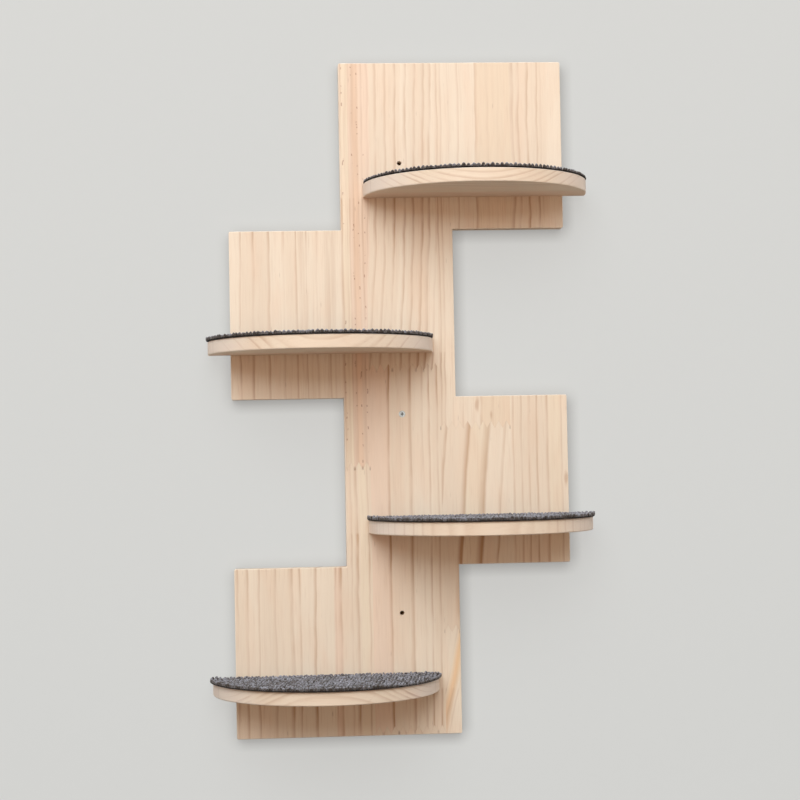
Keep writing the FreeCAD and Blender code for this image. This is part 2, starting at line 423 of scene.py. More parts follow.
def resin_dashes(s, place, seed):
    """Short faint dashes along the grain, where pine's resin canals open on the surface."""
    vector = grained(s, place, DASH_RATES, seed)
    cells = s.add("TexVoronoi", {"Vector": vector, "Scale": DASH_SCALE})
    near = s.step_between(cells.outputs["Distance"], *DASH_RADIUS)
    red = s.add("SeparateColor", {0: cells.outputs["Color"]}).outputs[0]
    return s.math("MULTIPLY", near, s.step_between(red, *DASH_PRESENT))


def fleck_column(s, across, along, column, seed):
    """Dark red-brown flecks in a loose row along the grain, as pitch leaves in pine."""
    wander = s.swing(s.point(column, seed, s.product(along, FLECK_WANDER_RATE)), FLECK_WANDER_MM)
    off = s.math("ABSOLUTE", s.math("SUBTRACT", s.math("ADD", across, wander), column))
    thin = s.step_between(off, *FLECK_HALF_WIDTH_MM)
    broken = s.noise(s.point(column * 0.7, seed, s.product(along, FLECK_RATE)), 1.0, 1.0)
    return s.math("MULTIPLY", thin, s.step_between(broken, *FLECK_PRESENT))


def pine(name, grain, reference_mm, wood, seed):
    """One stave's wood. Every stave has its own rings, tones and marks."""
    wood = {**PLAIN_WOOD, **wood}
    s = Shader(name)
    place = grain_places(s, grain, reference_mm)
    across, along, down = place
    low, high = wood["span"]
    ring = ring_place(s, place, wood, seed)
    share = s.add("MapRange", {"Value": ring, "From Min": low, "From Max": high}).outputs[0]
    # On the board, depth is painted shade: growth lines, streaks and dashes drawn darker below each
    # shelf.
    depth = lines_darker_in_shelf_shade(s, along) if grain == "upright" else stronger_end(s, along, wood)

    line_ramp = s.ramp(share, line_stops(wood["lines"], low, high))
    lines = s.add("SeparateColor", {0: line_ramp}).outputs[0]
    fade_across, fade_along = LINE_FADE_RATES
    fade = s.noise(s.point(s.product(across, fade_across), seed, s.product(along, fade_along)))
    lines = s.product(lines, s.step_between(fade, *LINE_FADE), LINE_DEPTH, depth)
    fine = fine_rings(s, ring, along, wood["fine_pitch_mm"], seed)
    fibre = s.noise(grained(s, place, FIBRE_RATES, seed), 1.0, 3.0, 0.6)
    cloud = s.noise(grained(s, place, CLOUD_RATES))
    blush = s.noise(grained(s, place, BLUSH_RATES, seed))
    streak = s.noise(grained(s, place, STREAK_RATES, seed))
    dashes = resin_dashes(s, place, seed)

    colour = s.ramp(share, tone_stops(wood["tones"], low, high, wood["blend_mm"]))
    colour = s.mix(s.product(s.step_between(blush, *BLUSH_RANGE), BLUSH_SHARE), colour, ROSE)
    # Streaks are drawn darker below the shelves too, as painted shade.
    streaks = s.product(s.step_between(streak, *STREAK_RANGE), depth, STREAK_SHARE)
    colour = s.mix(streaks, colour, LATEWOOD)
    colour = s.mix(s.product(fine, wood["fine"]), colour, LATEWOOD)
    colour = s.mix(s.math("MULTIPLY", lines, 1.0, clamp=True), colour, LATEWOOD)
    colour = s.shade(colour, s.centred(fibre, FIBRE_SHADE))
    colour = s.shade(colour, s.centred(cloud, CLOUD_SHADE))
    # So are the resin dashes: painted shade below the shelves.
    colour = s.mix(s.product(dashes, depth, wood["dashes"]), colour, RESIN)
    marks = dashes
    for column in wood["fleck_columns"]:
        flecks = fleck_column(s, across, along, column, seed)
        colour = s.mix(s.product(flecks, FLECK_SHARE), colour, PITCH)
        marks = s.math("MAXIMUM", marks, flecks)
    for knot in wood["knots"]:
        colour = s.mix(s.product(knot_heart(s, across, along, knot), KNOT_SHARE), colour, LATEWOOD)
    for joint in wood["joints"]:
        colour = s.mix(finger_glue(s, across, along, joint), colour, GLUE)
    for seam in wood["seams"]:
        colour = s.mix(s.product(seam_glue(s, across, seam), SEAM_SHARE), colour, GLUE)
    colour = edges_and_painted_highlights(s, colour, grain)

    height = s.total(
        s.product(fibre, FIBRE_RELIEF),
        s.product(lines, LINE_RELIEF),
        s.product(fine, FINE_RELIEF),
        s.product(marks, MARK_RELIEF),
    )
    return s.finish(
        Base_Color=colour,
        Roughness=s.math("MULTIPLY_ADD", fibre, FIBRE_ROUGHNESS, WOOD_ROUGHNESS),
        Normal=s.bump(height, RELIEF_DEPTH),
        Specular_IOR_Level=0.35,
        Coat_Weight=0.06,
        Coat_Roughness=0.4,
    )


def facing(s):
    """How far the surface faces along x, y and z, each from 0 to 1."""
    normal = s.add("NewGeometry").outputs["Normal"]
    upright = s.add("VectorMath", {0: normal}, operation="ABSOLUTE").outputs[0]
    return s.add("SeparateXYZ", {0: upright}).outputs


def seam_glue(s, across, seam):
    """The glue line between two staves, which shows on the shelf's rim and hardly on its flat faces."""
    off = s.math("ABSOLUTE", s.math("SUBTRACT", across, seam))
    on_rim = s.step_between(facing(s)[2], *RIM_STEEPNESS)
    strength = s.math("MULTIPLY_ADD", on_rim, 1 - SEAM_ON_FLAT, SEAM_ON_FLAT)
    return s.product(s.step_between(off, *SEAM_HALF_WIDTH_MM), strength)


def edges_and_painted_highlights(s, colour, grain):
    """Rounded edges are paler, as sanded wood and a painted highlight. A shelf's end grain is paler and
    greyer, partly as painted light from the sides, and the board's is darker.
    """
    x, y, z = facing(s)
    if grain == "level":
        # Partly painted light: shelf ends that face sideways are paler and greyer.
        ends = s.product(s.step_between(x, *SHELF_END_FACING), SHELF_END_SHARE)
        colour = s.mix(ends, colour, END_GRAIN_SIDE_LIT)
        off = s.math("ABSOLUTE", s.math("SUBTRACT", z, SHELF_ARRIS))
        return s.mix(s.product(s.step_between(off, *SHELF_ARRIS_REACH), SANDED_HIGHLIGHT_SHARE), colour, SANDED_HIGHLIGHT)
    largest = s.math("MAXIMUM", s.math("MAXIMUM", x, y), z)
    # Sanded wood and a painted highlight on the board's rounded edges.
    sanded_highlight = s.step_between(largest, *BOARD_ARRIS)
    colour = s.mix(s.product(sanded_highlight, SANDED_HIGHLIGHT_SHARE), colour, SANDED_HIGHLIGHT)
    return s.shade(colour, s.product(s.step_between(z, *BOARD_END_FACING), BOARD_END_SHADE))


PLAIN_WOOD = {
    "span": (-100.0, 100.0),
    "lines": (),
    "tones": ((-1000.0, CREAM),),
    "blend_mm": 1.5,
    "pith": (400.0, 60.0),
    "sway_mm": 1.6,
    "lean": 0.0,
    "curve": 0.0,
    "from_mm": 0.0,
    "fine": 0.05,
    "fine_pitch_mm": 3.2,
    "dashes": 0.22,
    "fleck_columns": (),
    "stronger": (),
    "knots": (),
    "joints": (),
    "seams": (),
}

# The staves of the board, all in millimetres. The span is the part of the reference face that the
# ramps cover. The pith is (across the grain, into the wood). Tones are (where it starts, colour).
# Lines are (place, darkness, width), and a negative width has its sharp side on the left. Lean and
# curve move the rings sideways along the grain, counted from from_mm. Joints are (height, left seam,
# right seam), knots (across, along, radius) and fleck columns places across the grain.
LEFT_1_JOINT = (-90.5, -135.5, -41.0)
SPINE_JOINT = (40.0, -41.0, 53.5)
SPINE_LOW_JOINT = (-443.0, -41.0, 53.5)
RIGHT_1_JOINT = (-38.5, 53.5, 148.0)
RIGHT_1_LOW_JOINT = (-310.0, 53.5, 148.0)
BOARD_WOODS = {
    "board_left_2_stave_a": {
        "span": (-228, -132),
        "pith": (-420, 160),
        "tones": ((-1000, PALE), (-209, CREAM), (-172, PALE), (-150, CREAM)),
        "lines": ((-210, 0.30, 4), (-193, 0.34, 5), (-172, 0.30, 5), (-152, 0.18, 5), (-135, 0.50, 4)),
    },
    "board_left_2_stave_b": {
        "span": (-228, -132),
        "pith": (-400, 120),
        "tones": ((-1000, CREAM), (-207, PALE), (-190, CREAM), (-150, PALE)),
        "lines": (
            (-220, 0.25, 4), (-207, 0.30, 5), (-192, 0.30, 4), (-170, 0.22, 5),
            (-148, 0.40, 7), (-138, 0.36, 4),
        ),
    },
    "board_left_1_stave_a": {
        "span": (-138, -38),
        "pith": (-300, 40),
        "sway_mm": 0.8,
        "tones": ((-1000, PALE), (-73, STRAW), (-63, PINK), (-58, ROSE), (-50, PINK)),
        "lines": (
            (-135, 0.30, 3), (-122, 0.22, 3), (-108, 0.12, 4), (-91, 0.22, 3), (-73, 0.34, 4),
            (-63, 0.22, -3), (-57, 0.20, 4), (-45, 0.22, 4),
        ),
        "fine": 0.2,
        "fine_pitch_mm": 4.2,
        "fleck_columns": (-71, -58, -51, -43.5),
        "joints": (LEFT_1_JOINT,),
    },
    "board_left_1_stave_b": {
        "span": (-138, -38),
        "pith": (-250, 90),
        "tones": ((-1000, PALE), (-92, PINK), (-82, CREAM), (-57, STRAW), (-46, CREAM)),
        "lines": (
            (-117, 0.52, 6), (-90, 0.22, 4), (-83, 0.42, 7), (-68, 0.18, 4), (-60, 0.40, 6),
            (-45, 0.30, 3),
        ),
        "joints": (LEFT_1_JOINT,),
    },
    "board_spine_stave_a": {
        "span": (-45, 65),
        "pith": (60, 180),
        "sway_mm": 2.2,
        "curve": -0.00009,
        "from_mm": 445,
        "tones": ((-1000, PINK), (-34, CREAM), (8, PALE), (20, CREAM), (46, PALE)),
        "lines": (
            (-41, 0.45, 3), (-36, 0.20, 4), (-25, 0.32, 5), (-12, 0.30, 5), (1, 0.42, 5), (15, 0.44, 5),
            (27, 0.38, 5), (39, 0.42, 5), (48, 0.38, 5), (58, 0.36, 4),
        ),
        "joints": (SPINE_JOINT,),
    },
    "board_spine_stave_b": {
        "span": (-45, 57),
        "pith": (180, 140),
        "sway_mm": 1.2,
        "tones": ((-1000, PINK), (-14, CREAM), (16, PALE), (42, CREAM)),
        "lines": ((-15, 0.50, 5), (14, 0.42, 6), (30, 0.18, 4), (39, 0.42, 4), (50, 0.38, 4)),
        "joints": (SPINE_JOINT, SPINE_LOW_JOINT),
    },
    "board_spine_stave_c": {
        "span": (-45, 57),
        "lines": ((-30, 0.3, 5), (0, 0.3, 5), (22, 0.3, 5)),
        "joints": (SPINE_LOW_JOINT,),
    },
    "board_right_1_stave_a": {
        "span": (50, 151),
        "pith": (260, 30),
        "tones": ((-1000, CREAM), (62, PALE), (108, GREIGE)),
        "lines": (
            (57, 0.34, 3), (62, 0.22, 3), (72, 0.12, 3), (85, 0.24, 4), (108, 0.30, -5),
            (125, 0.14, 5),
        ),
        "fine": 0.07,
        "fine_pitch_mm": 4.0,
        "knots": ((104, -12, 3.4), (122.5, -26, 2.4)),
        "joints": (RIGHT_1_JOINT,),
    },
    "board_right_1_stave_b": {
        "span": (40, 168),
        "pith": (-60, 170),
        "sway_mm": 1.4,
        "lean": 0.077,
        "from_mm": -38,
        "tones": ((-1000, CREAM), (93, STRAW), (119, PALE)),
        "lines": ((62, 0.46, 6), (93, 0.60, 9), (119, 0.50, 12), (142, 0.42, 5)),
        "joints": (RIGHT_1_JOINT, RIGHT_1_LOW_JOINT),
    },
    "board_right_1_stave_c": {
        "span": (40, 168),
        "tones": ((-1000, PALE), (61, AMBER), (67, PALE)),
        "blend_mm": 4.0,
        "lean": 0.2,
        "from_mm": -380,
        "lines": ((57, 0.2, 3), (66, 0.2, -7), (73, 0.12, 4)),
        "joints": (RIGHT_1_LOW_JOINT,),
    },
    "board_right_2_stave_a": {
        "span": (145, 228),
        "pith": (330, 110),
        "sway_mm": 2.4,
        "tones": ((-1000, GREIGE), (156, CREAM), (205, PALE)),
        "lines": ((160, 0.32, 6), (168, 0.34, 5), (180, 0.44, 5), (193, 0.34, 4), (198, 0.12, 4)),
    },
    "board_right_2_stave_b": {
        "span": (145, 228),
        "pith": (420, 80),
        "sway_mm": 0.9,
        "tones": ((-1000, PALE), (150, CREAM), (200, STRAW), (216, PALE)),
        "lines": (
            (146, 0.22, 4), (152, 0.28, 4), (163, 0.26, 4), (173, 0.28, 4), (184, 0.44, 4),
            (198, 0.34, 5), (217, 0.26, 4),
        ),
        "knots": ((222, -112, 3),),
    },
}

# The same for the shelves, whose places are along y on the top face: the board's front is at -18
# and the rim's foremost point at -168. Stronger is (from x, full at x, how much more).
SHELF_END = ((-1000, PINK),)
SHELF_WOODS = {
    1: {
        "back": {"tones": SHELF_END, "lines": ((-30, 0.2, 5), (-45, 0.3, 5), (-56, 0.2, 5))},
        "front": {
            "pith": (18, 219),
            "lines": (
                (-68, 0.55, 1.5), (-84, 0.52, 6), (-101, 0.50, 6), (-122, 0.52, 5), (-131, 0.40, 5),
                (-141, 0.24, 5), (-150, 0.40, 5), (-160, 0.32, 5), (-172, 0.30, 5), (-183, 0.25, 5),
            ),
        },
    },
    2: {
        "back": {"tones": SHELF_END, "lines": ((-36, 0.2, 5), (-50, 0.25, 5))},
        "front": {
            "pith": (-49, 73),
            "lines": (
                (-86, 0.56, 5), (-114, 0.52, 5), (-132, 0.46, 4), (-143, 0.44, 6), (-152, 0.2, 5),
                (-164, 0.34, 5), (-174, 0.2, 5),
            ),
        },
    },
    3: {
        "back": {"tones": SHELF_END, "lines": ((-32, 0.3, 4), (-48, 0.4, 4), (-58, 0.35, 3))},
        "front": {
            "pith": (260, 9),
            "lines": (
                (-75, 0.5, 3), (-84, 0.5, 3), (-95, 0.55, 3), (-106, 0.50, 3), (-120, 0.48, 3),
                (-131, 0.32, 3), (-140, 0.25, 3), (-148, 0.2, 4), (-158, 0.2, 5), (-164, 0.2, 5),
            ),
            "sway_mm": 1.0,
        },
    },
    4: {
        "back": {"tones": SHELF_END, "lines": ((-34, 0.3, 4), (-46, 0.35, 3), (-56, 0.3, 3))},
        "front": {
            "pith": (-84, -63),
            "lines": (
                (-172, 0.30, 5), (-161, 0.34, 5), (-154, 0.25, 5), (-147, 0.40, 5), (-139, 0.60, 5),
                (-126, 0.42, 3), (-114, 0.45, 3), (-103, 0.42, 2.5), (-95, 0.40, 2.5), (-88, 0.36, 2.5),
            ),
            "stronger": (-20, 15, 1.2),
        },
    },
}


PLAIN_SHELF_WOOD = {"span": (-190, -10), "sway_mm": 1.2}
BOARD_SEED_STEP = 3.7  # seeds move the noise, so that no two staves are alike
SHELF_SEEDS = {"front": 50.0, "back": 51.7}
SHELF_SEED_STEP = 3.1


def dress_board():
    for index, (node, wood) in enumerate(BOARD_WOODS.items()):
        dress(node, pine(node + "_pine", "upright", FRONT_MM, wood, BOARD_SEED_STEP * index))


def dress_shelves():
    for level, parts in SHELF_WOODS.items():
        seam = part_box(f"shelf_{level}_back_stave")[0].y / MM
        for part, wood in parts.items():
            node = f"shelf_{level}_{part}_stave"
            wood = {**PLAIN_SHELF_WOOD, "seams": (seam,), **wood}
            seed = SHELF_SEEDS[part] + SHELF_SEED_STEP * level
            dress(node, pine(node + "_pine", "level", SHELF_TOPS_MM[level - 1], wood, seed))


def new_piece(name, vertices, faces, material, smooth=True):
    """A mesh object in the scene, with one material."""
    mesh = bpy.data.meshes.new(name)
    mesh.from_pydata(vertices, [], faces)
    mesh.validate()
    mesh.materials.append(material)
    mesh.polygons.foreach_set("use_smooth", [smooth] * len(mesh.polygons))
    piece = bpy.data.objects.new(name, mesh)
    bpy.context.scene.collection.objects.link(piece)
    return piece


# ---- Carpet pads ----

BACKING_THICKNESS = 1.6 * MM
BACKING_INSET = 0.8 * MM  # the backing's rim lies this far inside the pad's
ROW_PITCH = 4.6 * MM  # the loops stand in rows that run from the rim to the board
LOOP_PITCH = 4.3 * MM  # along a row
EDGE_PITCH = 6.1 * MM  # along the outermost row, which follows the rim
EDGE_REACH = 0.85  # of the outermost loops, as a share of the others'
PAD_CORNER = 12 * MM  # radius at the pad's two corners by the board
ROW_LEAN = 0.13  # sideways run of a row for each metre that it runs to the wall
LOOP_HEIGHT = 2.7 * MM  # of its centreline above the backing
EDGE_RISE = 1.2  # the outermost loops stand this much higher
LOOP_REACH = 1.4 * MM  # from a loop's middle to each foot's centreline
YARN_RADIUS = 1.35 * MM
LOOP_ROOT = 0.3 * MM  # how deep a loop stands in the backing
LOOP_ROUNDNESS = 0.8  # power of the arch's height, which is flatter on top below 1
LOOP_STEPS = 8
YARN_SIDES = 6
RIM_STEPS = 240
SPARE_ROWS = 12  # beyond the pad's width, because the rows lean
PLACE_JITTER = 0.8 * MM
TURN_JITTER = 0.7
FIELD_INSET = 3.2 * YARN_RADIUS  # of the loops that aren't in the outermost row
EDGE_INSET = YARN_RADIUS + 0.3 * MM
EDGE_JITTER = 0.2 * MM
EDGE_TURN_JITTER = 0.12
LOOP_SEED = 40
HEIGHT_SPREAD = 0.12
REACH_SPREAD = 0.10
THICKNESS_SPREAD = 0.08
TILT_SPREAD = 0.25 * MM
DROOP_RANGE = (0.2, 0.8)  # of the way from the pad's middle to its end
PRESSED_RANGE = (0.55, 1.0)
# How far the edge loops of a pad hang down over the wood at its left and right end, and how much
# of its height its loops have lost at both ends, where it was pressed down.
PAD_DROOPS = {1: (0.0, 0.0), 2: (0.0, 0.0), 3: (0.0, 0.0), 4: (0.0, 1.5 * MM)}
PAD_PRESSED = {1: 0.35, 2: 0.0, 3: 0.0, 4: 0.0}

# Scales of the carpet's noise, in cycles per metre.
WEAVE_SCALE = 900.0
CELL_SCALE = 210.0  # the cells that give each loop its own tone
FIBRE_SCALE = 2600.0
BLOTCH_SCALE = 28.0
# The backing's side faces: dark backing with painted shade.
SHADED_RIM_DARK = srgb(20, 17, 16)
SHADED_RIM_PALE = srgb(42, 37, 35)
FELT_DARK = srgb(66, 62, 63)
FELT_PALE = srgb(96, 92, 94)
YARN_TONES = (
    (0.05, srgb(62, 53, 48)),
    (0.30, srgb(96, 90, 88)),
    (0.58, srgb(132, 132, 140)),
    (0.90, srgb(184, 186, 200)),
)
YARN_ROUGHNESS = 0.85


def backing_felt():
    """Felt between the loops, and a darker rim: a dark backing whose side faces are also darkened as
    painted shade.
    """
    s = Shader("carpet_backing")
    place = s.add("TexCoord").outputs["Object"]
    weave = s.noise(place, WEAVE_SCALE, 3.0)
    normal = s.add("NewGeometry").outputs["Normal"]
    upright = s.add("SeparateXYZ", {0: normal}).outputs["Z"]
    tone = s.step_between(weave, 0.3, 0.7)
    rim = s.mix(tone, SHADED_RIM_DARK, SHADED_RIM_PALE)
    felt = s.mix(tone, FELT_DARK, FELT_PALE)
    return s.finish(
        # Painted shade: faces that look sideways take the near-black rim colour.
        Base_Color=s.mix(s.step_between(upright, 0.4, 0.9), rim, felt),
        Roughness=s.math("MULTIPLY_ADD", weave, 0.1, YARN_ROUGHNESS),
        Normal=s.bump(weave, 0.3 * MM),
        Specular_IOR_Level=0.2,
    )


def loop_yarn():
    """Heathered charcoal yarn. Each loop has its own tone and mixed fibres; as painted light and shade,
    faces that look up are paler than its flanks.
    """
    s = Shader("carpet_loops")
    place = s.add("TexCoord").outputs["Object"]
    cells = s.add("TexVoronoi", {"Vector": place, "Scale": CELL_SCALE})
    own = s.add("SeparateColor", {0: cells.outputs["Color"]}).outputs[0]
    fibre = s.noise(place, FIBRE_SCALE, 3.0, 0.7)
    blotch = s.noise(place, BLOTCH_SCALE)
    normal = s.add("NewGeometry").outputs["Normal"]
    upright = s.add("SeparateXYZ", {0: normal}).outputs["Z"]
    # Painted light and shade: faces that look up are paler, faces that look sideways darker.
    painted_crown_light = s.step_between(upright, -0.1, 0.9)
    tone = s.total(
        s.product(own, 0.45),
        s.product(fibre, 0.7),
        s.product(blotch, 0.5),
        s.product(painted_crown_light, 0.44),
        -0.70,
    )
    return s.finish(
        Base_Color=s.ramp(tone, YARN_TONES),
        Roughness=s.math("MULTIPLY_ADD", fibre, 0.1, YARN_ROUGHNESS),
        Normal=s.bump(fibre, 0.25 * MM),
        Specular_IOR_Level=0.2,
        Sheen_Weight=0.25,
        Sheen_Roughness=0.5,
    )


def pad_corner(radius):
    """How far sideways of the pad's middle the middle of a rounded corner is."""
    return math.sqrt((radius - PAD_CORNER) ** 2 - PAD_CORNER**2)


def pad_rim(radius, inset):
    """A pad's rim seen from above as (sideways, depth) from the middle of its back edge, counted from
    the right end round the front to the left end: a half circle whose two corners are rounded."""
    corner_x = pad_corner(radius)
    meeting = math.asin(PAD_CORNER / (radius - PAD_CORNER))
    rim = []
    for i in range(RIM_STEPS + 1):
        angle = -math.pi / 2 + 2 * math.pi * i / RIM_STEPS
        if angle < meeting:
            middle, reach = (corner_x, PAD_CORNER), PAD_CORNER - inset
        elif angle > math.pi - meeting:
            middle, reach = (-corner_x, PAD_CORNER), PAD_CORNER - inset
        else:
            middle, reach = (0.0, 0.0), radius - inset
        rim.append((middle[0] + reach * math.cos(angle), middle[1] + reach * math.sin(angle)))
    return rim


def evenly_along(line, pitch):
    """Places about a pitch apart along a line, each with the direction that the line runs in there."""
    points = np.array(line)
    lengths = np.hypot(*np.diff(points, axis=0).T)
    reached = np.concatenate(([0.0], np.cumsum(lengths)))
    count = round(reached[-1] / pitch)
    stops = (np.arange(count) + 0.5) * reached[-1] / count
    x = np.interp(stops, reached, points[:, 0])
    y = np.interp(stops, reached, points[:, 1])
    leg = np.searchsorted(reached, stops) - 1
    run = points[leg + 1] - points[leg]
    return x, y, np.arctan2(run[:, 1], run[:, 0])


def on_pad(x, depth, radius, inset):
    """Whether a place lies at least an inset inside the pad's rim."""
    corner_x = pad_corner(radius)
    if abs(x) > corner_x and depth < PAD_CORNER:
        return math.hypot(abs(x) - corner_x, depth - PAD_CORNER) < PAD_CORNER - inset
    return math.hypot(x, depth) < radius - inset


def backing(level, centre, radius, y_back, z_bottom, material):
    """The flat slab that the loops stand in."""
    outline = [(centre.x + x, y_back - depth) for x, depth in pad_rim(radius, BACKING_INSET)[::-1]]
    heights = (z_bottom, z_bottom + BACKING_THICKNESS)
    count = len(outline)
    vertices = [(x, y, z) for z in heights for x, y in outline]
    faces = [tuple(range(count)[::-1]), tuple(range(count, 2 * count))]
    for i in range(count):
        j = (i + 1) % count
        faces.append((i, j, count + j, count + i))
    return new_piece(f"carpet_{level}_backing", vertices, faces, material, smooth=False)


def loop_places(centre, radius, y_back, random):
    """Where the loops stand, which way each arch runs, and how high it is."""
    rows = int(2 * radius / ROW_PITCH) + SPARE_ROWS
    first = YARN_RADIUS + LOOP_REACH
    places = []
    for row in range(rows):
        for i in range(int(radius / LOOP_PITCH)):
            depth = first + (i + 0.5 * (row % 2)) * LOOP_PITCH + random.normal(0, PLACE_JITTER)
            x = (row - rows / 2) * ROW_PITCH - depth * ROW_LEAN + random.normal(0, PLACE_JITTER)
            if on_pad(x, depth, radius, FIELD_INSET):
                turn = math.pi / 2 + random.normal(0, TURN_JITTER)
                places.append((centre.x + x, y_back - depth, turn, 1.0))
    for x, depth, run in zip(*evenly_along(pad_rim(radius, EDGE_INSET), EDGE_PITCH)):
        jitter = random.normal(0, EDGE_JITTER, 2)
        turn = -run + random.normal(0, EDGE_TURN_JITTER)
        places.append((centre.x + x + jitter[0], y_back - depth + jitter[1], turn, EDGE_RISE))
    return np.array(places)


def smooth_step(values, low, high):
    """0 below low, 1 above high and a smooth rise between, for an array."""
    share = ((values - low) / (high - low)).clip(0, 1)
    return share * share * (3 - 2 * share)


def spread(random, count, amount):
    """Factors about 1 that differ by about that amount, and by twice it at most."""
    return 1 + amount * random.standard_normal(count).clip(-2, 2)


def outwards(values):
    """One value for each loop, shaped to be multiplied with its stations and sides."""
    return values[:, None, None]


def loop_faces(count):
    """The four-sided faces of that many tubes, whose vertices run loop by loop and ring by ring."""
    ring = np.arange(LOOP_STEPS * YARN_SIDES).reshape(LOOP_STEPS, YARN_SIDES)
    beside = np.roll(ring, -1, axis=1)
    quads = np.stack((ring, beside, beside + YARN_SIDES, ring + YARN_SIDES), axis=-1).reshape(-1, 4)
    first = np.arange(count) * (LOOP_STEPS + 1) * YARN_SIDES
    return (outwards(first) + quads[None, :, :]).reshape(-1, 4)


def loops(level, centre, radius, y_back, z_bottom, material):
    """Real loops of yarn, each an arch that stands in the backing."""
    random = np.random.default_rng(LOOP_SEED + level)
    foot_x, foot_y, turn, rise = loop_places(centre, radius, y_back, random).T
    count = len(foot_x)
    to_end = (foot_x - centre.x) / radius
    at_edge = rise > 1.0
    left_droop, right_droop = PAD_DROOPS[level]
    droop = left_droop + (right_droop - left_droop) * smooth_step(to_end, *DROOP_RANGE)
    sink = np.where(at_edge, droop, 0.0)
    pressed = 1 - PAD_PRESSED[level] * smooth_step(abs(to_end), *PRESSED_RANGE)
    height = LOOP_HEIGHT * rise * spread(random, count, HEIGHT_SPREAD)
    reach = LOOP_REACH * spread(random, count, REACH_SPREAD)
    reach = np.where(at_edge, reach * EDGE_REACH, reach)
    tilt_x, tilt_y = random.normal(0, TILT_SPREAD, (count, 2)).T
    thickness = YARN_RADIUS * spread(random, count, THICKNESS_SPREAD)

    # One arch in its own plane: u along the row, w up. Its tube's rings stand square to the arch.
    along = np.linspace(0, math.pi, LOOP_STEPS + 1)
    around = np.linspace(0, 2 * math.pi, YARN_SIDES, endpoint=False)
    u = -np.cos(along)[None, :] * reach[:, None]
    w = np.sin(along)[None, :] ** LOOP_ROUNDNESS * height[:, None]
    slope_u = np.gradient(u, axis=1)
    slope_w = np.gradient(w, axis=1)
    length = np.hypot(slope_u, slope_w)
    normal_u = (-slope_w / length)[:, :, None]
    normal_w = (slope_u / length)[:, :, None]
    radial = outwards(thickness) * np.cos(around)[None, None, :]
    sideways = outwards(thickness) * np.sin(around)[None, None, :]
    ring_u = u[:, :, None] + normal_u * radial
    ring_w = w[:, :, None] + normal_w * radial
    ring_v = np.broadcast_to(sideways, ring_u.shape)
    lift = (w / LOOP_HEIGHT)[:, :, None]
    cos_turn, sin_turn = outwards(np.cos(turn)), outwards(np.sin(turn))
    x = outwards(foot_x) + ring_u * cos_turn - ring_v * sin_turn + outwards(tilt_x) * lift
    y = outwards(foot_y) + ring_u * sin_turn + ring_v * cos_turn + outwards(tilt_y) * lift
    base = z_bottom + BACKING_THICKNESS - LOOP_ROOT - sink
    z = outwards(base) + np.maximum(ring_w, 0.0) * outwards(pressed)
    vertices = np.stack((x, y, z), axis=-1).reshape(-1, 3)
    return new_piece(f"carpet_{level}_loops", vertices.tolist(), loop_faces(count).tolist(), material)


def make_carpets():
    backing_material = backing_felt()
    loop_material = loop_yarn()
    for level in LEVELS:
        node = f"carpet_{level}"
        low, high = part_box(node)
        radius = (high.x - low.x) / 2
        centre = (low + high) / 2
        slab = backing(level, centre, radius, high.y, low.z, backing_material)
        pile = loops(level, centre, radius, high.y, low.z, loop_material)
        for piece in (slab, pile):
            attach(piece, BODY)
            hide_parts(node)


# ---- Screws ----


def screw_steel():
    """Zinc-plated steel."""
    s = Shader("zinc_steel")
    place = s.add("TexCoord").outputs["Object"]
    cloud = s.noise(place, 400.0, 3.0)
    grain = s.noise(place, 4000.0, 2.0)
    colour = s.mix(cloud, srgb(168, 166, 163), srgb(198, 195, 190))
    return s.finish(
        Base_Color=colour,
        Metallic=1.0,
        Roughness=s.math("MULTIPLY_ADD", grain, 0.15, 0.28),
        Normal=s.bump(grain, 0.02 * MM),
    )


def recess_steel():
    """Painted shade: darker and duller steel for the faces of the screw's recess."""
    s = Shader("recess_steel")
    grain = s.noise(s.add("TexCoord").outputs["Object"], 3000.0, 2.0)
    return s.finish(
        Base_Color=s.mix(grain, srgb(52, 46, 40), srgb(92, 84, 76)),
        Metallic=0.7,
        Roughness=s.math("MULTIPLY_ADD", grain, 0.2, 0.5),
        Normal=s.bump(grain, 0.02 * MM),
    )


HEAD_RADIUS = 4.5 * MM
NECK_RADIUS = 1.65 * MM
CORE_RADIUS = 1.6 * MM
THREAD_RADIUS = 2.25 * MM
THREAD_PITCH = 2.0 * MM
THREAD_RIDGE = 0.35  # share of the pitch that the ridge takes on each side
POINT_LENGTH = 5 * MM
POINT_RADIUS = 0.1 * MM
HEAD_BEVEL = 0.2 * MM
NECK_LENGTH = 18 * MM  # from the head's face to the thread, which is the board's thickness
RECESS_SPAN = 2.3 * MM  # of each of the cross's four arms, from the middle
RECESS_SLOT = 0.55 * MM  # half an arm's width
RECESS_DEPTH = 1.9 * MM
RECESS_TAPER = 0.45  # size of the recess at its bottom, as a share of its size at the face
TOOL_ABOVE = 0.5  # how far the tool that cuts it stands out of the face, in recess depths
SHARP_ANGLE = 35
SCREW_SIDES = 32
STATIONS_PER_TURN = 10


def screw_stations(length):
    """Along the screw: (distance from the head's face, radius without thread, height of the thread)."""
    cone = HEAD_RADIUS - NECK_RADIUS
    stations = [
        (0.0, HEAD_RADIUS - HEAD_BEVEL, 0.0),
        (HEAD_BEVEL, HEAD_RADIUS, 0.0),
        (HEAD_BEVEL + cone, NECK_RADIUS, 0.0),
        (NECK_LENGTH, NECK_RADIUS, 0.0),
    ]
    ridge = THREAD_RADIUS - CORE_RADIUS
    step = THREAD_PITCH / STATIONS_PER_TURN
    for i in range(1, int((length - NECK_LENGTH) / step)):
        distance = NECK_LENGTH + i * step
        start = min(1.0, i / STATIONS_PER_TURN)
        point = min(1.0, (length - distance) / POINT_LENGTH)
        stations.append((distance, CORE_RADIUS * point, ridge * start * point))
    stations.append((length, POINT_RADIUS, 0.0))
    return stations


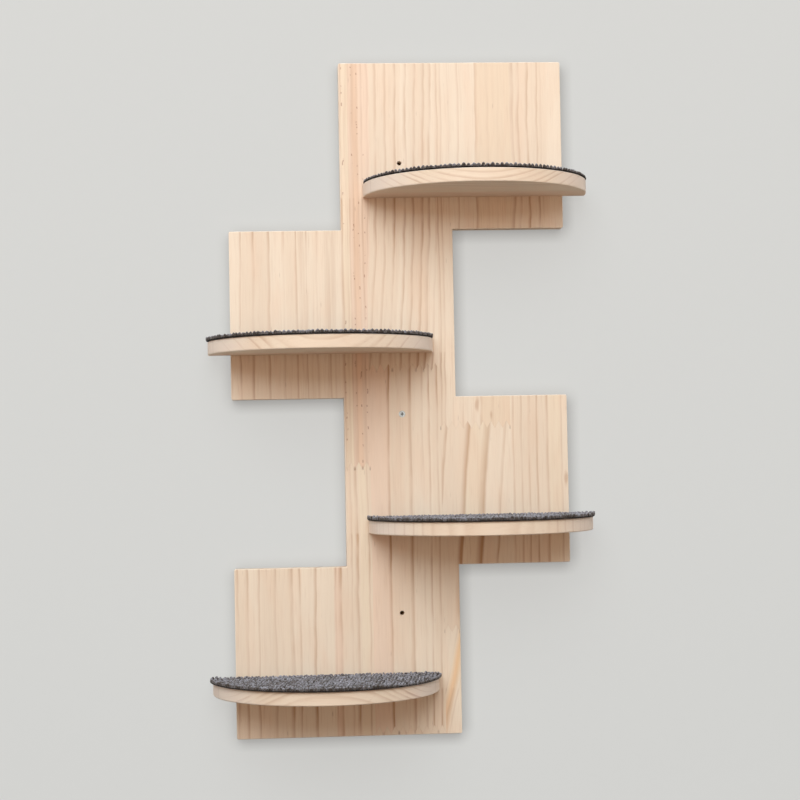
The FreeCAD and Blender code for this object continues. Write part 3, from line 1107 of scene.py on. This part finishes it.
def threaded_body(name, centre, y_face, length, material):
    """A screw along +Y whose radius follows a helical ridge."""
    vertices = []
    stations = screw_stations(length)
    for distance, radius, ridge in stations:
        for i in range(SCREW_SIDES):
            phase = (distance / THREAD_PITCH - i / SCREW_SIDES) % 1.0
            rise = max(0.0, 1 - abs(phase - 0.5) / THREAD_RIDGE)
            angle = 2 * math.pi * i / SCREW_SIDES
            r = radius + ridge * rise
            x = centre[0] + r * math.cos(angle)
            z = centre[1] + r * math.sin(angle)
            vertices.append((x, y_face + distance, z))
    faces = [tuple(range(SCREW_SIDES))]
    for j in range(len(stations) - 1):
        for i in range(SCREW_SIDES):
            a, b = j * SCREW_SIDES + i, j * SCREW_SIDES + (i + 1) % SCREW_SIDES
            faces.append((a, a + SCREW_SIDES, b + SCREW_SIDES, b))
    last = (len(stations) - 1) * SCREW_SIDES
    faces.append(tuple(range(last + SCREW_SIDES - 1, last - 1, -1)))
    return new_piece(name, vertices, faces, material)


def recess_tool(centre, y_face, material):
    """A cross that narrows inwards, to be cut out of a head."""
    a, b = RECESS_SPAN, RECESS_SLOT
    arm = [(a, -b), (a, b), (b, b)]
    cross = []
    for _ in range(4):
        cross += arm
        arm = [(-z, x) for x, z in arm]
    outside = 1 + (1 - RECESS_TAPER) * TOOL_ABOVE
    ends = ((outside, y_face - RECESS_DEPTH * TOOL_ABOVE), (RECESS_TAPER, y_face + RECESS_DEPTH))
    vertices = [(centre[0] + x * share, y, centre[1] + z * share) for share, y in ends for x, z in cross]
    count = len(cross)
    faces = [tuple(range(count)), tuple(range(2 * count - 1, count - 1, -1))]
    for i in range(count):
        j = (i + 1) % count
        faces.append((i, i + count, j + count, j))
    return new_piece("recess_tool", vertices, faces, material, smooth=False)


def wall_screw(material):
    """The countersunk wall screw with its cross recess and its thread."""
    low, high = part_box("wall_screw")
    centre = ((low.x + high.x) / 2, (low.z + high.z) / 2)
    screw = threaded_body("wall_screw_threaded", centre, low.y, high.y - low.y, material)
    # The recess's faces get painted shade.
    tool = recess_tool(centre, low.y, recess_steel())
    cut = screw.modifiers.new("recess", "BOOLEAN")
    cut.operation = "DIFFERENCE"
    cut.solver = "EXACT"
    cut.material_mode = "TRANSFER"
    cut.object = tool
    shapes = bpy.context.evaluated_depsgraph_get()
    cut_mesh = bpy.data.meshes.new_from_object(screw.evaluated_get(shapes))
    screw.modifiers.clear()
    screw.data = cut_mesh
    bpy.data.objects.remove(tool)
    cut_mesh.set_sharp_from_angle(angle=math.radians(SHARP_ANGLE))
    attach(screw, BODY)
    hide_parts("wall_screw")


def dress_screws():
    steel = screw_steel()
    wall_screw(steel)
    for level in LEVELS:
        dress(f"shelf_screws_{level}", steel)


# ---- Stage, light and camera ----

WALL_REACH = 4.0
WALL_GAP = 0.4 * MM
WALL_CUT_MARGIN = 1.5 * MM  # the wall is open behind the board, except for this rim and the holes
HOLE_SHADE_RADIUS = 3.3 * MM  # of the dark disc of painted shade behind each of the board's empty holes
HOLE_SHADE_SIDES = 24
FLOOR_Z = -0.95
LIT_SHARE = 0.22  # of the stage's colour
CONTACT_SHADOW = 20 * MM
CONTACT_DEPTH = 0.62
WALL_LEAN = (-0.35, -1.0, 0.40)  # out of the surface and towards the key light
FLOOR_LEAN = (-0.2, -0.5, 1.0)
WALL_COLOUR = srgb(214, 215, 213)
WALL_BOUNCE = srgb(214, 215, 212)
# Painted shade seen through the board's empty holes.
HOLE_SHADE_COLOUR = srgb(66, 44, 24)
HOLE_SHADE_LIT_SHARE = 0.2
FLOOR_COLOUR = srgb(206, 206, 204)
FLOOR_BOUNCE = srgb(120, 110, 100)
GRID_COLUMNS = 3  # the board is cut on a grid, where the spine is the middle column
GRID_ROWS = 4  # and each row has a tab on one side, the lowest on the left


def one_sided(name, seen_colour, lit_share, bounce_colour, towards_light):
    """A stage surface that shows only from its front, so that it never hides the object from behind.
    The camera sees a pale colour, of which lit_share takes light and shadow, and the rest takes a
    soft shade from what stands close by on the light's side. Other rays meet the bounce colour."""
    s = Shader(name)
    behind = s.add("NewGeometry").outputs["Backfacing"]
    to_camera = s.add("LightPath").outputs["Is Camera Ray"]
    place = s.add("TexCoord").outputs["Object"]
    colour = s.shade(seen_colour, s.centred(s.noise(place, 60.0, 4.0), 0.012))
    lean = s.add("VectorMath", {0: towards_light}, operation="NORMALIZE").outputs[0]
    near = s.add("AmbientOcclusion", {"Distance": CONTACT_SHADOW, "Normal": lean}, samples=8)
    lit = s.add("BsdfDiffuse", {"Color": colour})
    contact = s.math("MULTIPLY_ADD", near.outputs["AO"], -CONTACT_DEPTH, CONTACT_DEPTH)
    even = s.add("Emission", {"Color": s.shade(colour, contact)})
    seen = s.add("MixShader", {0: lit_share, 1: even.outputs[0], 2: lit.outputs[0]})
    bounce = s.add("BsdfDiffuse", {"Color": bounce_colour})
    front = s.add("MixShader", {0: to_camera, 1: bounce.outputs[0], 2: seen.outputs[0]})
    clear = s.add("BsdfTransparent")
    both = s.add("MixShader", {0: behind, 1: front.outputs[0], 2: clear.outputs[0]})
    s.add("OutputMaterial", {"Surface": both.outputs[0]})
    return s.owner


def board_rectangles():
    """The board's outline as rectangles (left, right, bottom, top): the spine, then the four tabs."""
    staves = [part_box(node) for node in BOARD_WOODS]
    bottom = min(low.z for low, high in staves)
    top = max(high.z for low, high in staves)
    right = max(high.x for low, high in staves)
    spine = right / GRID_COLUMNS
    rectangles = [(-spine, spine, bottom, top)]
    for row in range(GRID_ROWS):
        left_edge, right_edge = (-right, spine) if row % 2 == 0 else (-spine, right)
        row_bottom, row_top = (bottom + (top - bottom) * i / GRID_ROWS for i in (row, row + 1))
        rectangles.append((left_edge, right_edge, row_bottom, row_top))
    return rectangles


def inside(rectangles, x, z):
    return any(left < x < right and bottom < z < top for left, right, bottom, top in rectangles)


def wall():
    """A wall just behind the board, open where the board covers it."""
    m = WALL_CUT_MARGIN
    cuts = [(a + m, b - m, c + m, d - m) for a, b, c, d in board_rectangles()]
    xs = sorted({-WALL_REACH, WALL_REACH, *(e[0] for e in cuts), *(e[1] for e in cuts)})
    zs = sorted({FLOOR_Z, WALL_REACH, *(e[2] for e in cuts), *(e[3] for e in cuts)})
    vertices = [(x, WALL_GAP, z) for z in zs for x in xs]
    faces = []
    for j in range(len(zs) - 1):
        for i in range(len(xs) - 1):
            if inside(cuts, (xs[i] + xs[i + 1]) / 2, (zs[j] + zs[j + 1]) / 2):
                continue
            corner = j * len(xs) + i
            faces.append((corner, corner + 1, corner + len(xs) + 1, corner + len(xs)))
    paint = one_sided("wall_paint", WALL_COLOUR, LIT_SHARE, WALL_BOUNCE, WALL_LEAN)
    return new_piece("wall", vertices, faces, paint, smooth=False)


def hole_shade_discs():
    """Dark discs of painted shade on the wall, seen through the board's two empty holes."""
    vertices = []
    faces = []
    for mount in frame["record"]["mounts"]:
        if mount["kind"] == "bore":
            x, _, z = mount["pos_m"]
            faces.append(tuple(range(len(vertices), len(vertices) + HOLE_SHADE_SIDES)))
            for i in range(HOLE_SHADE_SIDES):
                angle = 2 * math.pi * i / HOLE_SHADE_SIDES
                across = HOLE_SHADE_RADIUS * math.cos(angle)
                up = HOLE_SHADE_RADIUS * math.sin(angle)
                vertices.append((x + across, WALL_GAP, z + up))
    paint = one_sided("drilled_wall", HOLE_SHADE_COLOUR, HOLE_SHADE_LIT_SHARE, HOLE_SHADE_COLOUR, WALL_LEAN)
    return new_piece("hole_shade_discs", vertices, faces, paint, smooth=False)


def floor():
    r = WALL_REACH
    vertices = [(-r, -r, FLOOR_Z), (r, -r, FLOOR_Z), (r, r, FLOOR_Z), (-r, r, FLOOR_Z)]
    paint = one_sided("floor_paint", FLOOR_COLOUR, LIT_SHARE, FLOOR_BOUNCE, FLOOR_LEAN)
    return new_piece("floor", vertices, [(0, 1, 2, 3)], paint, smooth=False)


# The world's light, as strengths and as the directions (parts of a unit vector) over which each
# part of it sets in.
WORLD_BELOW = 0.27
WORLD_ABOVE = 0.40
WORLD_RISE = (-0.6, 0.7)
WORLD_LOW_COLOUR = srgb(255, 218, 178)
WORLD_HIGH_COLOUR = srgb(255, 252, 248)
GLOW = 0.78  # of the warm light that comes from low in front, as off a wooden floor
GLOW_COLOUR = srgb(255, 198, 158)
GLOW_FRONT = (-0.35, -0.9)
GLOW_TOP = (0.35, -0.1)
GLOW_BOTTOM = (-0.9, -0.4)
SIDE_LIGHT = 0.22
SIDE_COLOUR = srgb(236, 244, 255)
SIDE_RANGE = (0.6, 0.95)
REAR_LIGHT = 0.5  # only reaches the board's back, because the wall stands in its way
REAR_RANGE = (0.0, 0.35)
BACKDROP_COLOUR = srgb(220, 221, 219)
KEY_PLACE = (-0.5, -3.4, 2.15)
KEY_AIM = (0.0, 0.0, -0.3)
KEY_SIZE = 3.0
KEY_POWER = 137.0
KEY_COLOUR = (0.95, 0.99, 1.0)


def studio_world():
    """Pale to the eye; as a light it is soft and cool above and at the sides, and warm low in front."""
    world = bpy.data.worlds.new("studio")
    bpy.context.scene.world = world
    s = Shader(world)
    path = s.add("LightPath").outputs
    x, y, z = s.add("SeparateXYZ", {0: s.add("TexCoord").outputs["Generated"]}).outputs
    rise = s.step_between(z, *WORLD_RISE)
    strength = s.math("MULTIPLY_ADD", rise, WORLD_ABOVE - WORLD_BELOW, WORLD_BELOW)
    colour = s.mix(rise, WORLD_LOW_COLOUR, WORLD_HIGH_COLOUR)
    lights = s.add("Background", {"Color": colour, "Strength": strength})
    front = s.step_between(y, *GLOW_FRONT)
    low = s.product(s.step_between(z, *GLOW_TOP), s.step_between(z, *GLOW_BOTTOM))
    glow = s.add("Background", {"Color": GLOW_COLOUR, "Strength": s.product(front, low, GLOW)})
    sideways = s.product(s.step_between(s.math("ABSOLUTE", x), *SIDE_RANGE), SIDE_LIGHT)
    sides = s.add("Background", {"Color": SIDE_COLOUR, "Strength": sideways})
    behind = s.add("Background", {"Strength": s.product(s.step_between(y, *REAR_RANGE), REAR_LIGHT)})
    for more in (glow, sides, behind):
        lights = s.add("AddShader", {0: lights.outputs[0], 1: more.outputs[0]})
    backdrop = s.add("Background", {"Color": BACKDROP_COLOUR})
    seen = s.math("MAXIMUM", path["Is Camera Ray"], path["Is Glossy Ray"])
    seen = s.math("MAXIMUM", seen, path["Is Transmission Ray"])
    both = s.add("MixShader", {0: seen, 1: lights.outputs[0], 2: backdrop.outputs[0]})
    s.add("OutputWorld", {"Surface": both.outputs[0]})


def aim(place, target):
    return (Vector(target) - Vector(place)).to_track_quat("-Z", "Y")


def key_light():
    data = bpy.data.lights.new("key", "AREA")
    data.shape = "SQUARE"
    data.size = KEY_SIZE
    data.energy = KEY_POWER
    data.color = KEY_COLOUR
    lamp = bpy.data.objects.new("key", data)
    lamp.location = KEY_PLACE
    lamp.rotation_mode = "QUATERNION"
    lamp.rotation_quaternion = aim(KEY_PLACE, KEY_AIM)
    bpy.context.scene.collection.objects.link(lamp)


CAMERA_PLACE = (-0.1617, -2.5509, -0.0738)  # fitted to the photograph, with angles in degrees
CAMERA_YAW = -3.654
CAMERA_PITCH = 1.582
CAMERA_ROLL = 1.099
CAMERA_LENS_MM = 85.35
CAMERA_SENSOR_MM = 36.0


def camera():
    """Stands left of the object's middle and looks into the wall, as the photograph's camera does."""
    data = bpy.data.cameras.new("camera")
    data.lens = CAMERA_LENS_MM
    data.sensor_width = CAMERA_SENSOR_MM
    data.clip_end = 50
    yaw = Matrix.Rotation(math.radians(CAMERA_YAW), 3, "Z")
    pitch = Matrix.Rotation(math.radians(CAMERA_PITCH), 3, "X")
    roll = Matrix.Rotation(math.radians(CAMERA_ROLL), 3, "Y")
    look_along_y = Matrix.Rotation(math.radians(90), 3, "X")
    place = bpy.data.objects.new("camera", data)
    place.location = CAMERA_PLACE
    place.rotation_euler = (yaw @ pitch @ roll @ look_along_y).to_euler()
    bpy.context.scene.collection.objects.link(place)
    bpy.context.scene.camera = place


# ---- The scene ----

camera()
dress_board()
dress_shelves()
make_carpets()
dress_screws()
wall()
hole_shade_discs()
floor()
studio_world()
key_light()
bpy.context.scene.view_settings.view_transform = "Standard"
